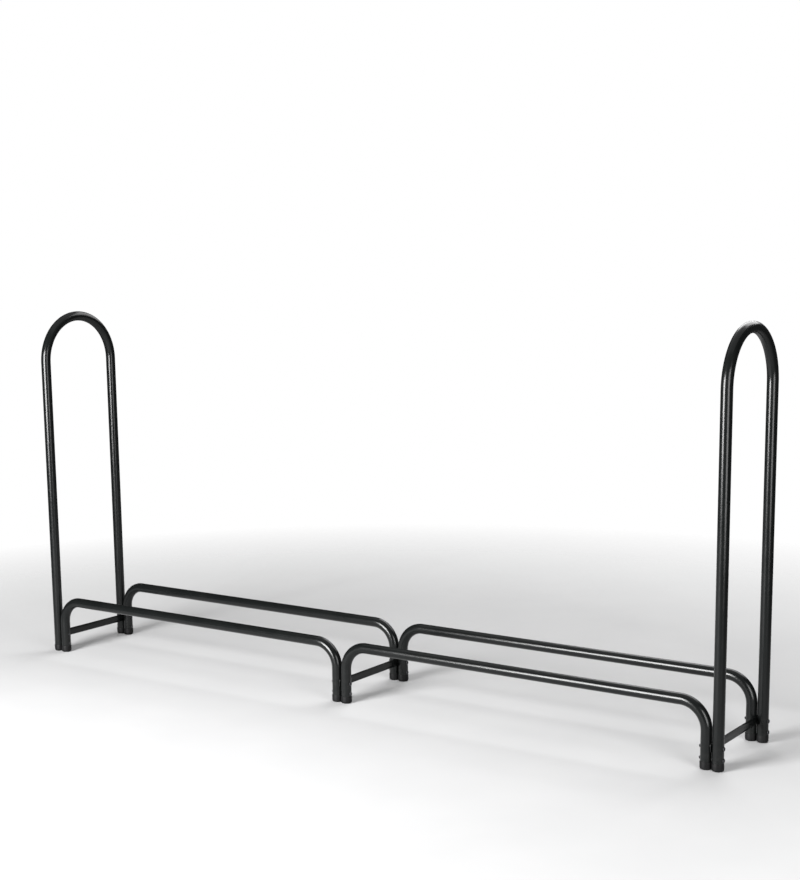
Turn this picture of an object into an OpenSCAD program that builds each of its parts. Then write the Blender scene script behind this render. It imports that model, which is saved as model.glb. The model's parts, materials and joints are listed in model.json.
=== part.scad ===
// Steel-tube firewood log rack: two bolted-on end hoops, four inverted-U rails,
// three flat cross braces and twelve slip-on foot caps. Millimetres, +Z up.
// Origin: on the floor, at the middle of the rack's length and depth.
// X runs along the rack, Y from front to back.

/* [Overall] */
// Outside length of one base frame, leg to leg
frame_len = 1220; // [600:10:1500]
// Distance between the front and back tube centrelines
depth_centers = 305; // [200:5:450]
// Height from the floor to where a hoop's legs meet its half-circle top
hoop_leg_h = 1005; // [500:10:1500]
// Height from the floor to the centreline of the log rails
rail_z = 181; // [160:1:300]

/* [Tube] */
// Outside diameter of every tube
tube_d = 31.8; // [25:0.2:38]
// Wall thickness of every tube
tube_wall = 1.2; // [1:0.1:2.5]
// Centreline radius of the bend at each end of a rail
bend_r = 76; // [60:1:90]

/* [Cross braces] */
// Height of the flat bar
brace_h = 25; // [20:1:32]
// Thickness of the flat bar
brace_t = 2; // [1.5:0.5:4]
// Rounding radius of the bar's four corners
brace_corner_r = 6; // [3:1:9]

/* [Fasteners] */
// Height of the lower row of bolts above the floor
bolt_low_z = 30; // [30:1:34]
// Height of the upper row of bolts, which also hold the braces
bolt_high_z = 62; // [56:1:80]
// Nominal bolt diameter
bolt_d = 5; // [4:1:6]
// Diameter of the domed bolt head
head_d = 14; // [11:0.5:14]
// Height of the domed bolt head
head_h = 3.6; // [2.6:0.2:4]
// Nut width across its flats
nut_af = 8; // [7.5:0.5:11]
// Nut thickness
nut_t = 2.7; // [2.7:0.1:5]
// Thread standing out beyond the nut
thread_end = 1.5; // [1:0.5:6]

/* [Foot caps] */
// Height of a foot cap, which stops below the lower bolts
cap_h = 22; // [16:1:22]
// Thickness of the cap under the end of the tube
cap_floor = 5; // [4.5:0.5:8]
// Rounding radius of the cap's lower edge
cap_edge_r = 6; // [2:0.5:6]

/* [Hidden] */
$fn = 96;
tube_r = tube_d / 2;
bore_r = tube_r - tube_wall;
seat_gap = 0.05;                     // room for the powder coat between pieces that touch
pair_gap = brace_t + 2 * seat_gap;   // between the two tubes of a leg pair
pair_pitch = tube_d + pair_gap;      // between their centrelines
leg_span = frame_len - tube_d;       // between the two leg centrelines of one rail
rail_leg_in = pair_pitch / 2;        // rail leg beside the middle of the rack
rail_leg_out = rail_leg_in + leg_span;
hoop_x = rail_leg_out + pair_pitch;
leg_x = [-hoop_x, -rail_leg_out, -rail_leg_in, rail_leg_in, rail_leg_out, hoop_x];
row_y = depth_centers / 2;
grip = 2 * tube_d + pair_gap + 2 * seat_gap;  // from under a bolt's head to its nut
overcut = 20;                        // how far a cutter runs past an open tube end
through = 2;                         // how far a cutter runs past each face it opens
hole_r = bolt_d / 2 + 0.25;          // clearance hole for the bolt
neck_w = bolt_d + 0.2;               // square neck under the domed head
neck_len = 3;
head_root = 1;                       // how far the neck runs into the head
square_hole_w = neck_w + 0.4;        // punched hole that stops the neck from turning
nut_hole_r = bolt_d / 2 + 0.05;
tip_chamfer = 0.6;                   // at the end of the bolt's thread
nut_chamfer_angle = 30;
cap_gap = 0.1;                       // between the two caps of a leg pair
cap_r = (pair_pitch - cap_gap) / 2;
cap_lip = 0.4;                       // chamfer of the cap's mouth
bolt_z = [bolt_low_z, bolt_high_z];

// One entry per leg pair: middle of the pair in X, and the side its bolt heads face
PAIRS = [["left", -(hoop_x + rail_leg_out) / 2, -1],
         ["center", 0, 1],
         ["right", (hoop_x + rail_leg_out) / 2, 1]];
ROWS = [["front", -row_y], ["back", row_y]];
LEVELS = ["low", "high"];

powder_black = [0.10, 0.11, 0.11];
plastic_black = [0.07, 0.07, 0.07];
zinc_black = [0.14, 0.14, 0.15];

// A rod of radius r in the shape of a hoop: two straight legs and a half circle,
// in the plane X = 0. Its legs end at z = low.
module hoop_rod(r, low) {
    for (side = [-1, 1])
        translate([0, side * row_y, low])
            cylinder(h = hoop_leg_h - low, r = r);
    translate([0, 0, hoop_leg_h])
        rotate([90, 0, 90])
            rotate_extrude(angle = 180)
                translate([row_y, 0]) circle(r = r);
}

// A rod of radius r in the shape of a rail: two short legs, two quarter bends and
// a straight run, in the plane Y = 0, with its legs at X = 0 and X = leg_span.
module rail_rod(r, low) {
    bend_z = rail_z - bend_r;
    for (x = [0, leg_span])
        translate([x, 0, low])
            cylinder(h = bend_z - low, r = r);
    translate([bend_r, 0, bend_z])
        rotate([90, 0, 0])
            rotate([0, 0, 90])
                rotate_extrude(angle = 90)
                    translate([bend_r, 0]) circle(r = r);
    translate([leg_span - bend_r, 0, bend_z])
        rotate([90, 0, 0])
            rotate_extrude(angle = 90)
                translate([bend_r, 0]) circle(r = r);
    translate([bend_r, 0, rail_z])
        rotate([0, 90, 0])
            cylinder(h = leg_span - 2 * bend_r, r = r);
}

// Cutters for the two bolts through a leg at [x, y]. head_side is -1 or 1 where that
// wall of the tube is punched square for the bolt's neck, and 0 where it is not.
module leg_holes(x, y, head_side = 0) {
    for (z = bolt_z)
        translate([x, y, z]) {
            rotate([0, 90, 0])
                cylinder(h = tube_d + 2 * through, r = hole_r, center = true);
            if (head_side != 0)
                translate([head_side * (tube_r + (through - neck_len) / 2), 0, 0])
                    cube([neck_len + through, square_hole_w, square_hole_w], center = true);
        }
}

module hoop(side) {
    color(powder_black)
        difference() {
            translate([side * hoop_x, 0, 0]) hoop_rod(tube_r, cap_floor);
            translate([side * hoop_x, 0, 0]) hoop_rod(bore_r, cap_floor - overcut);
            for (row = ROWS)
                leg_holes(side * hoop_x, row[1], side);
        }
}

// The right-hand rails' inner legs carry the heads of the middle bolts.
module rail(row, side) {
    y = ROWS[row][1];
    start_x = side < 0 ? -rail_leg_out : rail_leg_in;
    color(powder_black)
        difference() {
            translate([start_x, y, 0]) rail_rod(tube_r, cap_floor);
            translate([start_x, y, 0]) rail_rod(bore_r, cap_floor - overcut);
            leg_holes(start_x, y, side < 0 ? 0 : 1);
            leg_holes(start_x + leg_span, y, 0);
        }
}

// Flat bar on edge between the tubes of a front pair and a back pair, held by the
// upper bolts.
module brace(pair) {
    half_len = row_y + brace_h / 2;
    translate([PAIRS[pair][1], 0, bolt_high_z])
        rotate([90, 0, 90])
            color(powder_black)
                difference() {
                    bar_blank(half_len);
                    for (side = [-1, 1])
                        translate([side * row_y, 0, 0])
                            cylinder(h = brace_t + 2 * through, r = hole_r, center = true);
                }
}

// The bar lying flat in X and Y, with its four corners rounded.
module bar_blank(half_len) {
    flat_h = brace_h - 2 * brace_corner_r;
    flat_len = 2 * (half_len - brace_corner_r);
    cube([2 * half_len, flat_h, brace_t], center = true);
    cube([flat_len, brace_h, brace_t], center = true);
    for (sx = [-1, 1], sy = [-1, 1])
        translate([sx * flat_len / 2, sy * flat_h / 2, 0])
            cylinder(h = brace_t, r = brace_corner_r, center = true);
}

// Foot cap: a rounded cup that the end of a tube stands in.
module foot(row, leg) {
    color(plastic_black)
        translate([leg_x[leg], ROWS[row][1], 0])
            difference() {
                rotate_extrude() foot_outline();
                translate([0, 0, cap_floor])
                    cylinder(h = cap_h, r = tube_r + seat_gap);
            }
}

// Half of the foot's section, in X (radius) and Y (height), before it is hollowed.
module foot_outline() {
    inner = cap_r - cap_edge_r;
    square([inner, cap_h]);
    translate([0, cap_edge_r])
        square([cap_r, cap_h - cap_edge_r - cap_lip]);
    polygon([[0, cap_h - cap_lip], [cap_r, cap_h - cap_lip], [cap_r - cap_lip, cap_h], [0, cap_h]]);
    intersection() {
        translate([inner, cap_edge_r]) circle(r = cap_edge_r);
        translate([inner, 0]) square([cap_edge_r, cap_edge_r]);
    }
}

// Places children so that +X is the way the bolt heads of a pair face, and X = 0 is
// the outside of the tube under the heads.
module at_bolt(row, pair, level) {
    side = PAIRS[pair][2];
    seat = pair_gap / 2 + tube_d + seat_gap;
    translate([PAIRS[pair][1] + side * seat, ROWS[row][1], bolt_z[level]])
        mirror([side < 0 ? 1 : 0, 0, 0])
            children();
}

// Carriage bolt: domed head, square neck and round shank with a chamfered tip.
module bolt(row, pair, level) {
    shank_len = grip + nut_t + thread_end;
    color(zinc_black)
        at_bolt(row, pair, level)
            rotate([0, 90, 0]) {
                rotate_extrude() dome_outline();
                translate([0, 0, (head_root - neck_len) / 2])
                    cube([neck_w, neck_w, neck_len + head_root], center = true);
                translate([0, 0, tip_chamfer - shank_len])
                    cylinder(h = shank_len - tip_chamfer, r = bolt_d / 2);
                translate([0, 0, -shank_len])
                    cylinder(h = tip_chamfer, r1 = bolt_d / 2 - tip_chamfer, r2 = bolt_d / 2);
            }
}

// Half of the domed head's section, in X (radius) and Y (height).
module dome_outline() {
    dome_r = (pow(head_d / 2, 2) + pow(head_h, 2)) / (2 * head_h);
    intersection() {
        translate([0, head_h - dome_r]) circle(r = dome_r);
        square([head_d, head_d]);
    }
}

// Hexagon nut with chamfered corners, on the far side of the pair.
module nut(row, pair, level) {
    corner_r = nut_af / sqrt(3);
    chamfer = (corner_r - nut_af / 2) * tan(nut_chamfer_angle);
    color(zinc_black)
        at_bolt(row, pair, level)
            translate([-grip, 0, 0])
                rotate([0, -90, 0])
                    difference() {
                        intersection() {
                            cylinder(h = nut_t, r = corner_r, $fn = 6);
                            rotate_extrude()
                                polygon([[0, 0], [nut_af / 2, 0], [corner_r, chamfer],
                                         [corner_r, nut_t - chamfer], [nut_af / 2, nut_t], [0, nut_t]]);
                        }
                        translate([0, 0, -through])
                            cylinder(h = nut_t + 2 * through, r = nut_hole_r);
                    }
}

hoop(-1);  // hoop_left
hoop(1);  // hoop_right
rail(0, -1);  // rail_front_left
rail(0, 1);  // rail_front_right
rail(1, -1);  // rail_back_left
rail(1, 1);  // rail_back_right
brace(0);  // brace_left
brace(1);  // brace_center
brace(2);  // brace_right
for (row = [0, 1], leg = [0 : 5])
    foot(row, leg);
for (row = [0, 1], pair = [0 : 2], level = [0, 1])
    bolt(row, pair, level);
for (row = [0, 1], pair = [0 : 2], level = [0, 1])
    nut(row, pair, level);
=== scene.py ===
import json
import math

import bmesh
import bpy
from mathutils import Matrix, Vector


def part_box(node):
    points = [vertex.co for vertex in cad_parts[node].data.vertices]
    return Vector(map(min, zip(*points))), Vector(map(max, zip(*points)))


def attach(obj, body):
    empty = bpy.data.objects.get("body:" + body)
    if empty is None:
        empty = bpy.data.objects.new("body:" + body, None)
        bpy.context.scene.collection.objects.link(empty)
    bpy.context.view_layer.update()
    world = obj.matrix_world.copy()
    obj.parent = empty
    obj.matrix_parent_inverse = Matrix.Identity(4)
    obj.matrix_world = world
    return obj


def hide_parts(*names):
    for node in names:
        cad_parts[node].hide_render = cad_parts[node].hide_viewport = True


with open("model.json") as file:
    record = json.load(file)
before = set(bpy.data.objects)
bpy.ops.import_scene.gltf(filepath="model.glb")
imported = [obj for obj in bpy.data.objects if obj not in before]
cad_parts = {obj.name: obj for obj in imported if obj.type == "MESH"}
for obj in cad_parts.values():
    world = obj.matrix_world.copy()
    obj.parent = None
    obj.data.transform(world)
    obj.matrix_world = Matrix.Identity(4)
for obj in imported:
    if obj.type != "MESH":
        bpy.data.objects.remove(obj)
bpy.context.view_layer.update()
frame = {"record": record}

MM = 0.001

# ---------------------------------------------------------------- sizes, in metres

# Sizes that the frame's boxes don't give: they repeat part.scad's.
WALL = 1.2 * MM
BEND_R = 76 * MM
SEAT_GAP = 0.05 * MM
HOLE_R = 2.75 * MM
BOLT_R = 2.5 * MM
NECK_W = 5.2 * MM
NECK_LEN = 3.0 * MM
HEAD_H = 3.6 * MM
NUT_AF = 8 * MM
NUT_HOLE_R = 2.55 * MM
BRACE_CORNER_R = 6 * MM
CAP_EDGE_R = 6 * MM

# Everything else comes from the frame.
mounts = {m["name"]: Vector(m["pos_m"]) for m in frame["record"]["mounts"]}
LEG_X = [mounts[f"rest_front_{k}"].x for k in range(1, 7)]
ROWS = {"front": mounts["rest_front_1"].y, "back": mounts["rest_back_1"].y}
ROW_Y = ROWS["back"]
hoop_low, hoop_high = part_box("hoop_right")
_, rail_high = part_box("rail_front_left")
TUBE_R = (hoop_high.x - hoop_low.x) / 2
BORE_R = TUBE_R - WALL
TUBE_END = hoop_low.z
LEG_H = hoop_high.z - TUBE_R - ROW_Y
RAIL_Z = rail_high.z - TUBE_R
bolt_low, bolt_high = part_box("bolt_front_right_low")
upper_low, upper_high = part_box("bolt_front_right_high")
BOLT_Z = {"low": (bolt_low.z + bolt_high.z) / 2, "high": (upper_low.z + upper_high.z) / 2}
HEAD_R = (bolt_high.z - bolt_low.z) / 2
BOLT_LEN = bolt_high.x - bolt_low.x
cap_low, cap_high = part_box("foot_front_1")
CAP_R = (cap_high.x - cap_low.x) / 2
CAP_H = cap_high.z
# Middle of each leg pair, and the way its bolt heads face.
PAIRS = {
    "left": ((LEG_X[0] + LEG_X[1]) / 2, -1),
    "center": ((LEG_X[2] + LEG_X[3]) / 2, 1),
    "right": ((LEG_X[4] + LEG_X[5]) / 2, 1),
}

# ---------------------------------------------------------------- mesh helpers

ROUND = 72             # points round a tube, and round a foot cap
RIM = 0.35 * MM        # rounding of a coated tube end
EASE = 0.3             # where a rounded edge's middle ring lies, as a share of its rounding
HOLE_BAND = 9 * MM     # from a bolt's centre to the rings above and below its holes
PEG_ROUND = 48         # points round a bolt or a drilled hole
HOOP_ARC_STEPS = 72
RAIL_ARC_STEPS = 28
CREASE_TUBE, CREASE_BOLT, CREASE_NUT = 32, 40, 25    # degrees


def mesh_object(name, verts, faces):
    """A new object with its faces pointing outwards."""
    mesh = bpy.data.meshes.new(name)
    mesh.from_pydata([tuple(v) for v in verts], [], faces)
    bm = bmesh.new()
    bm.from_mesh(mesh)
    bmesh.ops.recalc_face_normals(bm, faces=bm.faces)
    bm.to_mesh(mesh)
    bm.free()
    obj = bpy.data.objects.new(name, mesh)
    bpy.context.scene.collection.objects.link(obj)
    return obj


def smooth(obj, angle=CREASE_TUBE):
    """Smooth shading with creases at edges sharper than angle, in degrees."""
    obj.data.polygons.foreach_set("use_smooth", [True] * len(obj.data.polygons))
    obj.data.set_sharp_from_angle(angle=math.radians(angle))


def bridge(rings, closed=True):
    """Quads between rings of equal length; closed also joins the last ring to the first."""
    n = len(rings[0])
    verts = [p for ring in rings for p in ring]
    faces = []
    count = len(rings) if closed else len(rings) - 1
    for i in range(count):
        a, b = i * n, (i + 1) % len(rings) * n
        for k in range(n):
            m = (k + 1) % n
            faces.append((a + k, a + m, b + m, b + k))
    return verts, faces


def lathe(profile, n=64):
    """Rings about +Z from a profile of (radius, height) points."""
    return [[Vector((r * math.cos(2 * math.pi * k / n), r * math.sin(2 * math.pi * k / n), z))
             for k in range(n)] for r, z in profile]


def capped(rings):
    """Quads between rings, with a flat cap on the first and on the last."""
    verts, faces = bridge(rings, closed=False)
    n = len(rings[0])
    faces.append(tuple(range(n)))
    faces.append(tuple((len(rings) - 1) * n + k for k in range(n)))
    return verts, faces


def cut(obj, cutters):
    """Takes the cutter solids out of obj, and removes them."""
    for cutter in cutters:
        modifier = obj.modifiers.new("cut", "BOOLEAN")
        modifier.operation = "DIFFERENCE"
        modifier.solver = "EXACT"
        modifier.object = cutter
    bpy.context.view_layer.update()
    graph = bpy.context.evaluated_depsgraph_get()
    mesh = bpy.data.meshes.new_from_object(obj.evaluated_get(graph))
    old = obj.data
    obj.modifiers.clear()
    obj.data = mesh
    mesh.name = obj.name
    bpy.data.meshes.remove(old)
    for cutter in cutters:
        bpy.data.objects.remove(cutter)


def finish_piece(obj, node, material):
    """Puts a finished piece in place of its CAD node."""
    obj.data.materials.clear()
    obj.data.materials.append(material)
    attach(obj, "root")
    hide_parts(node)


# ---------------------------------------------------------------- tubes


def arc(center, radius, start, end, steps):
    """(point, tangent) along an arc in a plane; angles in degrees."""
    out = []
    for i in range(1, steps):
        a = math.radians(start + (end - start) * i / steps)
        out.append((Vector((center[0] + radius * math.cos(a), center[1] + radius * math.sin(a))),
                    Vector((-math.sin(a), math.cos(a))) * (1 if end > start else -1)))
    return out


def leg_stations():
    """Heights of a leg's rings: close together round each bolt, so that the holes stay crisp."""
    heights = [TUBE_END]
    for z in BOLT_Z.values():
        heights += [z - HOLE_BAND, z + HOLE_BAND]
    return heights


def hoop_path():
    """The hoop's centreline in its own plane: (along Y, along Z)."""
    up, down = Vector((0, 1)), Vector((0, -1))
    middle_rings = [0.3, 0.6]
    legs = leg_stations() + middle_rings
    path = [(Vector((-ROW_Y, z)), up) for z in legs + [LEG_H]]
    path += arc((0, LEG_H), ROW_Y, 180, 0, HOOP_ARC_STEPS)
    path += [(Vector((ROW_Y, z)), down) for z in [LEG_H] + legs[::-1]]
    return path


def rail_path(start, end):
    """A rail's centreline in its own plane: (along X, along Z)."""
    up, down, right = Vector((0, 1)), Vector((0, -1)), Vector((1, 0))
    bend_z = RAIL_Z - BEND_R
    legs = leg_stations()
    path = [(Vector((start, z)), up) for z in legs + [bend_z]]
    path += arc((start + BEND_R, bend_z), BEND_R, 180, 90, RAIL_ARC_STEPS)
    span = end - start - 2 * BEND_R
    quarters = (0, 0.25, 0.5, 0.75, 1)
    path += [(Vector((start + BEND_R + span * t, RAIL_Z)), right) for t in quarters]
    path += arc((end - BEND_R, bend_z), BEND_R, 90, 0, RAIL_ARC_STEPS)
    path += [(Vector((end, z)), down) for z in [bend_z] + legs[::-1]]
    return path


def tube_rings(path, lift, radius, inset):
    """Rings along a planar path. lift turns (u, v, w) into a point: u and v in the plane,
    w across it. The two end rings sit inset from the path's ends."""
    rings = []
    last = len(path) - 1
    for i, (p, t) in enumerate(path):
        if i == 0:
            p = p + t * inset
        if i == last:
            p = p - t * inset
        side = Vector((t.y, -t.x))
        rings.append([lift(p.x + side.x * radius * math.cos(a), p.y + side.y * radius * math.cos(a),
                           radius * math.sin(a))
                      for a in (2 * math.pi * k / ROUND for k in range(ROUND))])
    return rings


def hollow_tube(name, path, lift):
    """A closed skin: outside, a rounded rim at each end, and the bore."""
    outer = tube_rings(path, lift, TUBE_R, RIM)
    bore = tube_rings(path, lift, BORE_R, RIM / 2)
    start_rim = tube_rings(path[:2], lift, TUBE_R - RIM * EASE, RIM * EASE)[0]
    start_face = tube_rings(path[:2], lift, TUBE_R - RIM, 0)[0]
    end_rim = tube_rings(path[-2:], lift, TUBE_R - RIM * EASE, RIM * EASE)[1]
    end_face = tube_rings(path[-2:], lift, TUBE_R - RIM, 0)[1]
    rings = [start_face, start_rim] + outer + [end_rim, end_face] + bore[::-1]
    return mesh_object(name, *bridge(rings))


def peg(center, radius, length, square=False):
    """A cutter along X: round, or square with that half width."""
    n = 4 if square else PEG_ROUND
    r = radius * math.sqrt(2) if square else radius
    turn = math.pi / 4 if square else 0
    rings = [[Vector((center[0] + x, center[1] + r * math.cos(2 * math.pi * k / n + turn),
                      center[2] + r * math.sin(2 * math.pi * k / n + turn)))
              for k in range(n)] for x in (-length / 2, length / 2)]
    return mesh_object("cut", *capped(rings))


def leg_cutters(x, y, head_side):
    """The two bolt holes through a leg, punched square in the wall under a bolt head."""
    overrun = 4 * MM
    punch_half_w = NECK_W / 2 + 0.2 * MM
    punch_len = 4 * MM
    cutters = []
    for z in BOLT_Z.values():
        cutters.append(peg((x, y, z), HOLE_R, 2 * TUBE_R + overrun))
        if head_side:
            wall_x = x + head_side * (TUBE_R - WALL / 2)
            cutters.append(peg((wall_x, y, z), punch_half_w, punch_len, square=True))
    return cutters


def make_hoop(side, material):
    name = "left" if side < 0 else "right"
    x = LEG_X[0] if side < 0 else LEG_X[5]
    obj = hollow_tube(f"fine_hoop_{name}", hoop_path(), lambda u, v, w: Vector((x + w, u, v)))
    cut(obj, [c for y in ROWS.values() for c in leg_cutters(x, y, side)])
    smooth(obj)
    finish_piece(obj, f"hoop_{name}", material)


def make_rail(row, side, material):
    name = "left" if side < 0 else "right"
    start, end = (LEG_X[1], LEG_X[2]) if side < 0 else (LEG_X[3], LEG_X[4])
    y = ROWS[row]
    obj = hollow_tube(f"fine_rail_{row}_{name}", rail_path(start, end),
                      lambda u, v, w: Vector((u, y + w, v)))
    cut(obj, leg_cutters(start, y, 0 if side < 0 else 1) + leg_cutters(end, y, 0))
    smooth(obj)
    finish_piece(obj, f"rail_{row}_{name}", material)


# ---------------------------------------------------------------- braces


def make_brace(pair, material):
    """Flat bar on edge, with softened edges and rounded corners."""
    low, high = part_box(f"brace_{pair}")
    half_t = (high.x - low.x) / 2
    mid = (low + high) / 2
    edge = 0.3 * MM
    corner_steps = 8
    outline = []
    for cy, cz, start in ((1, 1, 0), (-1, 1, 90), (-1, -1, 180), (1, -1, 270)):
        for i in range(corner_steps + 1):
            a = math.radians(start + 90 * i / corner_steps)
            outline.append((cy, cz, math.cos(a), math.sin(a)))

    def ring(x, inset):
        r = BRACE_CORNER_R
        half_y, half_z = (high.y - low.y) / 2 - r, (high.z - low.z) / 2 - r
        return [Vector((mid.x + x, mid.y + cy * half_y + (r - inset) * c,
                        mid.z + cz * half_z + (r - inset) * s))
                for cy, cz, c, s in outline]

    rings = [ring(-half_t, edge), ring(-half_t + edge * EASE, edge * EASE), ring(-half_t + edge, 0),
             ring(half_t - edge, 0), ring(half_t - edge * EASE, edge * EASE), ring(half_t, edge)]
    obj = mesh_object(f"fine_brace_{pair}", *capped(rings))
    cut(obj, [peg((mid.x, y, mid.z), HOLE_R, 4 * half_t) for y in ROWS.values()])
    smooth(obj)
    finish_piece(obj, f"brace_{pair}", material)


# ---------------------------------------------------------------- foot caps


def cap_profile():
    """Outline of a foot cap from the middle of its underside, up its outside, over its
    rounded lip and down its bore to the floor inside: (radius, height)."""
    flat_r = CAP_R - CAP_EDGE_R
    recess = 0.6 * MM
    gate_r = 2.2 * MM
    gate_rise = 0.3 * MM
    step = 0.8 * MM
    profile = [(gate_r, recess + gate_rise), (gate_r + step / 2, recess),
               (flat_r - 2 * step, recess), (flat_r - step, 0)]
    edge_steps = 14
    for i in range(edge_steps + 1):
        a = math.pi / 2 * i / edge_steps
        profile.append((flat_r + CAP_EDGE_R * math.sin(a), CAP_EDGE_R * (1 - math.cos(a))))
    bore_r = TUBE_R + SEAT_GAP
    lip_r = (CAP_R - bore_r) / 2
    lip_steps = 8
    for i in range(lip_steps + 1):
        a = math.pi * i / lip_steps
        profile.append((bore_r + lip_r + lip_r * math.cos(a), CAP_H - lip_r + lip_r * math.sin(a)))
    inside_floor = TUBE_END - SEAT_GAP
    profile += [(bore_r, inside_floor), (gate_r, inside_floor)]
    return profile


def make_foot(row, leg, material):
    rings = lathe(cap_profile(), ROUND)
    x, y = LEG_X[leg], ROWS[row]
    # Each moulding sits turned a little differently on its tube, in radians.
    turn_per_leg, turn_at_back = 0.7, 0.4
    turn = Matrix.Rotation(turn_per_leg * leg + (turn_at_back if row == "back" else 0), 3, "Z")
    verts, faces = capped(rings)
    verts = [turn @ v + Vector((x, y, 0)) for v in verts]
    obj = mesh_object(f"fine_foot_{row}_{leg + 1}", verts, faces)
    smooth(obj)
    finish_piece(obj, f"foot_{row}_{leg + 1}", material)


# ---------------------------------------------------------------- bolts and nuts

PITCH = 0.8 * MM
THREAD_DEPTH = 0.42 * MM
THREAD_LEN = 12 * MM
RINGS_PER_TURN = 10
FADE_RINGS = 14        # rings over which the thread reaches its full depth
CREST = 1.3            # above 1, it flattens the thread's crest
TIP_CHAMFER = 0.6 * MM
NECK_ROUNDING = 1.3    # the neck's corners stop at this many half widths from its middle
NECK_STRAIGHT = 0.8    # share of the neck's length before it blends into the shank
CHAMFER_ANGLE = math.radians(30)


def bolt_rings():
    """Rings about +Z, with Z = 0 at the seat under the head and the shank going down."""
    n = PEG_ROUND
    dome_r = (HEAD_R ** 2 + HEAD_H ** 2) / (2 * HEAD_H)
    top = math.asin(HEAD_R / dome_r)
    dome_steps = 14
    first_angle = 0.02
    profile = [(dome_r * math.sin(a), HEAD_H - dome_r + dome_r * math.cos(a))
               for a in (first_angle + (top - 2 * first_angle) * i / dome_steps
                         for i in range(dome_steps + 1))]
    # The head's lower edge is rounded over.
    profile += [(HEAD_R, 0.18 * MM), (HEAD_R - 0.1 * MM, 0.03 * MM), (HEAD_R - 0.35 * MM, 0)]
    rings = lathe(profile, n)

    def neck(z, grow):
        """A square with slightly rounded corners."""
        half = NECK_W / 2
        out = []
        for k in range(n):
            a = 2 * math.pi * k / n
            r = min(half / max(abs(math.cos(a)), abs(math.sin(a))), half * NECK_ROUNDING)
            r = BOLT_R + (r - BOLT_R) * grow
            out.append(Vector((r * math.cos(a), r * math.sin(a), z)))
        return out

    rings += [neck(0, 1), neck(-NECK_LEN * NECK_STRAIGHT, 1), neck(-NECK_LEN, 0)]
    end = -(BOLT_LEN - HEAD_H)
    thread_start = end + THREAD_LEN
    rings.append(lathe([(BOLT_R, thread_start)], n)[0])
    steps = round(THREAD_LEN / PITCH * RINGS_PER_TURN)
    for i in range(steps + 1):
        z = thread_start + (end - thread_start) * i / steps
        # The thread fades in at its start and is chamfered at the tip.
        fade = min(1, i / FADE_RINGS)
        limit = BOLT_R - max(0, TIP_CHAMFER - (z - end))
        ring = []
        for k in range(n):
            a = 2 * math.pi * k / n
            phase = (z / PITCH + k / n) % 1
            ridge = 1 - abs(2 * phase - 1)
            r = BOLT_R - THREAD_DEPTH * fade * (1 - min(1, ridge * CREST))
            r = min(r, limit)
            ring.append(Vector((r * math.cos(a), r * math.sin(a), z)))
        rings.append(ring)
    return rings


def pair_frame(pair, row, level):
    """Matrix from a bolt's own frame, +Z out of its head, to its place."""
    x, side = PAIRS[pair]
    low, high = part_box(f"bolt_{row}_{pair}_{level}")
    seat_x = (high.x - HEAD_H) if side > 0 else (low.x + HEAD_H)
    turn = Matrix.Rotation(math.radians(90 * side), 4, "Y")
    return Matrix.Translation((seat_x, ROWS[row], BOLT_Z[level])) @ turn


def make_bolt(row, pair, level, material):
    place = pair_frame(pair, row, level)
    verts, faces = capped(bolt_rings())
    obj = mesh_object(f"fine_bolt_{row}_{pair}_{level}", [place @ v for v in verts], faces)
    smooth(obj, CREASE_BOLT)
    finish_piece(obj, f"bolt_{row}_{pair}_{level}", material)


def nut_rings(thickness):
    """A hexagon nut about +Z, from Z = 0 to thickness, with a 30 degree chamfer at both
    ends and a countersunk hole."""
    n = 96
    flat = NUT_AF / 2
    face_share = 0.96
    face_r = flat * face_share

    def hexagon(k):
        a = 2 * math.pi * k / n
        return flat / math.cos((a + math.pi / 6) % (math.pi / 3) - math.pi / 6)

    def point(k, r, z):
        a = 2 * math.pi * k / n
        return Vector((r * math.cos(a), r * math.sin(a), z))

    def chamfer(k):
        return (hexagon(k) - face_r) * math.tan(CHAMFER_ANGLE)

    hole = NUT_HOLE_R
    sink = 0.4 * MM
    return [
        [point(k, hole, sink) for k in range(n)],
        [point(k, hole + sink, 0) for k in range(n)],
        [point(k, face_r, 0) for k in range(n)],
        [point(k, hexagon(k), chamfer(k)) for k in range(n)],
        [point(k, hexagon(k), thickness - chamfer(k)) for k in range(n)],
        [point(k, face_r, thickness) for k in range(n)],
        [point(k, hole + sink, thickness) for k in range(n)],
        [point(k, hole, thickness - sink) for k in range(n)],
    ]


def make_nut(row, pair, level, material):
    low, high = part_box(f"nut_{row}_{pair}_{level}")
    verts, faces = bridge(nut_rings(high.x - low.x))
    turn = Matrix.Rotation(math.radians(-90), 4, "Y")
    place = Matrix.Translation((high.x, ROWS[row], BOLT_Z[level])) @ turn
    obj = mesh_object(f"fine_nut_{row}_{pair}_{level}", [place @ v for v in verts], faces)
    smooth(obj, CREASE_NUT)
    finish_piece(obj, f"nut_{row}_{pair}_{level}", material)


# ---------------------------------------------------------------- materials


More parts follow.
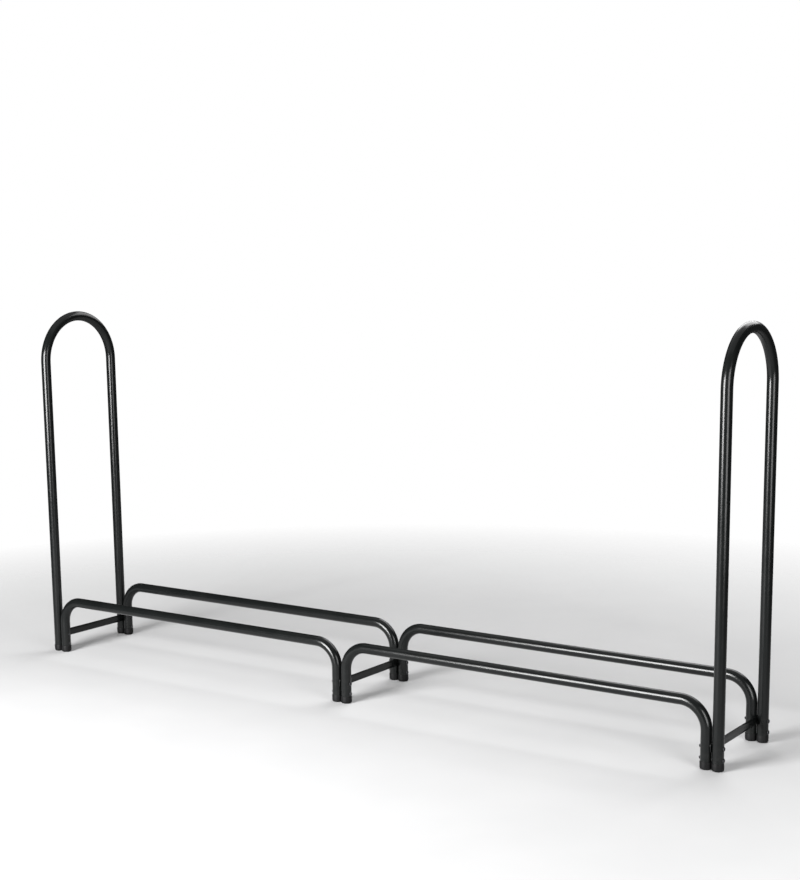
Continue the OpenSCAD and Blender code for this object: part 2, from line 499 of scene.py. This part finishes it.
class Nodes:
    """A short way to write a material's node tree."""

    def __init__(self, name):
        self.material = bpy.data.materials.new(name)
        self.material.use_nodes = True
        self.tree = self.material.node_tree
        self.shader = self.tree.nodes["Principled BSDF"]
        coords = self.tree.nodes.new("ShaderNodeTexCoord")
        self.coords = coords.outputs["Object"]

    def link(self, source, target):
        self.tree.links.new(source, target)

    def noise(self, scale, detail=3, roughness=0.5, stretch=None):
        node = self.tree.nodes.new("ShaderNodeTexNoise")
        node.inputs["Scale"].default_value = scale
        node.inputs["Detail"].default_value = detail
        node.inputs["Roughness"].default_value = roughness
        source = self.coords
        if stretch:
            mapping = self.tree.nodes.new("ShaderNodeMapping")
            mapping.inputs["Scale"].default_value = stretch
            self.link(source, mapping.inputs["Vector"])
            source = mapping.outputs["Vector"]
        self.link(source, node.inputs["Vector"])
        return node.outputs["Fac"]

    def remap(self, value, from_low, from_high, to_low, to_high):
        node = self.tree.nodes.new("ShaderNodeMapRange")
        self.link(value, node.inputs["Value"])
        for name, number in (("From Min", from_low), ("From Max", from_high),
                             ("To Min", to_low), ("To Max", to_high)):
            node.inputs[name].default_value = number
        return node.outputs["Result"]

    def math(self, operation, a, b):
        node = self.tree.nodes.new("ShaderNodeMath")
        node.operation = operation
        for socket, value in zip(node.inputs, (a, b)):
            if isinstance(value, (int, float)):
                socket.default_value = value
            else:
                self.link(value, socket)
        return node.outputs["Value"]

    def mix(self, factor, a, b):
        node = self.tree.nodes.new("ShaderNodeMix")
        node.data_type = "RGBA"
        self.link(factor, node.inputs["Factor"])
        for socket, value in (("A", a), ("B", b)):
            target = [s for s in node.inputs if s.name == socket and s.type == "RGBA"][0]
            if isinstance(value, tuple):
                target.default_value = (*value, 1)
            else:
                self.link(value, target)
        return [s for s in node.outputs if s.type == "RGBA"][0]

    def axis(self, name):
        node = self.tree.nodes.new("ShaderNodeSeparateXYZ")
        self.link(self.coords, node.inputs["Vector"])
        return node.outputs[name]

    def bump(self, height, distance):
        node = self.tree.nodes.new("ShaderNodeBump")
        node.inputs["Distance"].default_value = distance
        self.link(height, node.inputs["Height"])
        return node.outputs["Normal"]


def powder_coat():
    """Satin near-black powder coat: slight orange peel, faint handling marks, and a little
    floor dust low on the legs."""
    m = Nodes("powder_coat")
    dark, light = (0.0034, 0.0040, 0.0040), (0.0052, 0.0058, 0.0057)
    dust_color = (0.050, 0.048, 0.044)
    dust_top = 0.12
    orange_peel = 0.000006
    patches = m.noise(9, 4, 0.6)
    base = m.mix(m.remap(patches, 0.35, 0.7, 0, 1), dark, light)
    dust_noise = m.noise(60, 5, 0.65)
    low_down = m.remap(m.axis("Z"), 0.0, dust_top, 1, 0)
    dust = m.math("MULTIPLY", low_down, m.remap(dust_noise, 0.45, 0.75, 0, 0.15))
    color = m.mix(dust, base, dust_color)
    m.link(color, m.shader.inputs["Base Color"])
    handling = m.remap(m.noise(14, 5, 0.6), 0.3, 0.7, 0.19, 0.24)
    fine = m.remap(m.noise(900, 2, 0.5), 0.3, 0.7, -0.008, 0.008)
    rough = m.math("ADD", m.math("ADD", handling, fine), m.math("MULTIPLY", dust, 0.8))
    m.link(rough, m.shader.inputs["Roughness"])
    m.link(m.bump(m.noise(110, 2, 0.4), orange_peel), m.shader.inputs["Normal"])
    m.shader.inputs["Specular IOR Level"].default_value = 0.25
    return m.material


def foot_plastic():
    """Moulded black polyethylene: fine spark texture and scuffs near the floor."""
    m = Nodes("foot_plastic")
    dark, light = (0.0022, 0.0022, 0.0024), (0.0038, 0.0038, 0.0040)
    scuff_color = (0.030, 0.029, 0.027)
    scuff_top = 0.009
    spark_texture = 0.00004
    scuff_noise = m.noise(220, 6, 0.7, stretch=(1, 1, 0.35))
    low_down = m.remap(m.axis("Z"), 0.0, scuff_top, 1, 0)
    scuff = m.math("MULTIPLY", low_down, m.remap(scuff_noise, 0.5, 0.72, 0, 0.35))
    base = m.mix(m.remap(m.noise(40, 3, 0.5), 0.35, 0.65, 0, 1), dark, light)
    m.link(m.mix(scuff, base, scuff_color), m.shader.inputs["Base Color"])
    m.link(m.math("ADD", m.remap(m.noise(120, 3, 0.5), 0.3, 0.7, 0.46, 0.58),
                  m.math("MULTIPLY", scuff, 0.3)),
           m.shader.inputs["Roughness"])
    m.link(m.bump(m.noise(1800, 2, 0.7), spark_texture), m.shader.inputs["Normal"])
    m.shader.inputs["Specular IOR Level"].default_value = 0.16
    return m.material


def black_zinc():
    """Black zinc plating over steel: slightly uneven, with brighter rubbed spots."""
    m = Nodes("black_zinc")
    dark, light = (0.016, 0.016, 0.018), (0.03, 0.03, 0.032)
    rubbed = (0.10, 0.10, 0.105)
    grain = 0.00002
    rub = m.remap(m.noise(420, 5, 0.65), 0.5, 0.75, 0, 0.6)
    base = m.mix(m.remap(m.noise(150, 3, 0.5), 0.3, 0.7, 0, 1), dark, light)
    m.link(m.mix(rub, base, rubbed), m.shader.inputs["Base Color"])
    m.link(m.remap(m.noise(300, 4, 0.6), 0.3, 0.7, 0.22, 0.36), m.shader.inputs["Roughness"])
    m.link(m.bump(m.noise(1600, 2, 0.6), grain), m.shader.inputs["Normal"])
    m.shader.inputs["Metallic"].default_value = 0.55
    return m.material


# ---------------------------------------------------------------- the rack

coat = powder_coat()
plastic = foot_plastic()
zinc = black_zinc()
for side in (-1, 1):
    make_hoop(side, coat)
for row in ROWS:
    for side in (-1, 1):
        make_rail(row, side, coat)
for pair in PAIRS:
    make_brace(pair, coat)
for row in ROWS:
    for leg in range(len(LEG_X)):
        make_foot(row, leg, plastic)
    for pair in PAIRS:
        for level in BOLT_Z:
            make_bolt(row, pair, level, zinc)
            make_nut(row, pair, level, zinc)

# ---------------------------------------------------------------- floor, light and camera


def make_floor():
    """A large pale floor that fades into the white surround."""
    n = 96
    radii = (0.02, 1.2, 2.4, 3.4)
    fade_start, fade_end = 1.3, 3.2
    dark, light = (0.50, 0.50, 0.503), (0.52, 0.52, 0.522)
    verts, faces = bridge(lathe([(r, 0) for r in radii], n), closed=False)
    faces.append(tuple(range(n)))
    floor = mesh_object("floor", verts, faces)
    m = Nodes("floor_paper")
    tone = m.mix(m.remap(m.noise(3, 3, 0.5), 0.3, 0.7, 0, 1), dark, light)
    m.link(tone, m.shader.inputs["Base Color"])
    m.shader.inputs["Roughness"].default_value = 0.75
    m.shader.inputs["Specular IOR Level"].default_value = 0.2
    # Opaque round the rack, clear at the rim, so that no horizon shows.
    distance = m.tree.nodes.new("ShaderNodeVectorMath")
    distance.operation = "LENGTH"
    m.link(m.coords, distance.inputs[0])
    fade = m.remap(distance.outputs["Value"], fade_start, fade_end, 1, 0)
    m.link(fade, m.shader.inputs["Alpha"])
    floor.data.materials.append(m.material)


def area_light(name, location, target, size, radiance):
    """A softbox of width and height size, facing target. It lights, but isn't seen itself."""
    data = bpy.data.lights.new(name, "AREA")
    data.shape = "RECTANGLE"
    data.size, data.size_y = size
    data.energy = radiance * math.pi * size[0] * size[1]
    lamp = bpy.data.objects.new(name, data)
    bpy.context.scene.collection.objects.link(lamp)
    lamp.location = location
    direction = Vector(target) - Vector(location)
    lamp.rotation_euler = direction.to_track_quat("-Z", "Y").to_euler()
    lamp.visible_camera = False


def make_world():
    """White to the camera. For lighting it is a dim studio, so that the black coat stays black."""
    studio_strength, camera_strength = 0.05, 1.0
    world = bpy.data.worlds.new("studio")
    bpy.context.scene.world = world
    world.use_nodes = True
    tree = world.node_tree
    nodes, links = tree.nodes, tree.links
    background = nodes["Background"]
    path = nodes.new("ShaderNodeLightPath")
    white = nodes.new("ShaderNodeMix")
    white.data_type = "FLOAT"
    links.new(path.outputs["Is Camera Ray"], white.inputs["Factor"])
    white.inputs["A"].default_value = studio_strength
    white.inputs["B"].default_value = camera_strength
    links.new(white.outputs["Result"], background.inputs["Strength"])
    background.inputs["Color"].default_value = (1, 1, 1, 1)


def make_camera():
    """The photograph's view: from the right front, above the rack's top."""
    focal_share = 1584.5 / 880    # focal length over the frame's longer side
    place = (2.8555, -3.9111, 1.3357)
    pitch, yaw, roll = math.radians(9.844), math.radians(34.509), math.radians(-0.559)
    data = bpy.data.cameras.new("camera")
    data.sensor_width = 36
    data.lens = focal_share * data.sensor_width
    data.shift_x = -0.0151
    data.shift_y = 0.1084
    data.clip_end = 60
    camera = bpy.data.objects.new("camera", data)
    bpy.context.scene.collection.objects.link(camera)
    turn = Matrix.Rotation(yaw, 3, "Z") @ Matrix.Rotation(math.pi / 2 - pitch, 3, "X")
    turn = turn @ Matrix.Rotation(roll, 3, "Z")
    camera.matrix_world = Matrix.Translation(place) @ turn.to_4x4()
    bpy.context.scene.camera = camera


make_floor()
make_world()
make_camera()
area_light("key_left", location=(-0.85, -4.0, 1.35), target=(0.0, 0, 1.35), size=(1.9, 2.0), radiance=48)
area_light("fill_right", location=(3.5, -1.6, 1.2), target=(1.2, -0.15, 1.2), size=(1.3, 2.1), radiance=10)
area_light("top_back", location=(0.3, 3.4, 3.4), target=(0.3, 0, 1.0), size=(4.2, 2.4), radiance=4.4)
area_light("overhead", location=(0.0, 1.2, 4.5), target=(0.0, 1.2, 0), size=(6.5, 6.0), radiance=0.6)
bpy.context.scene.view_settings.view_transform = "Standard"
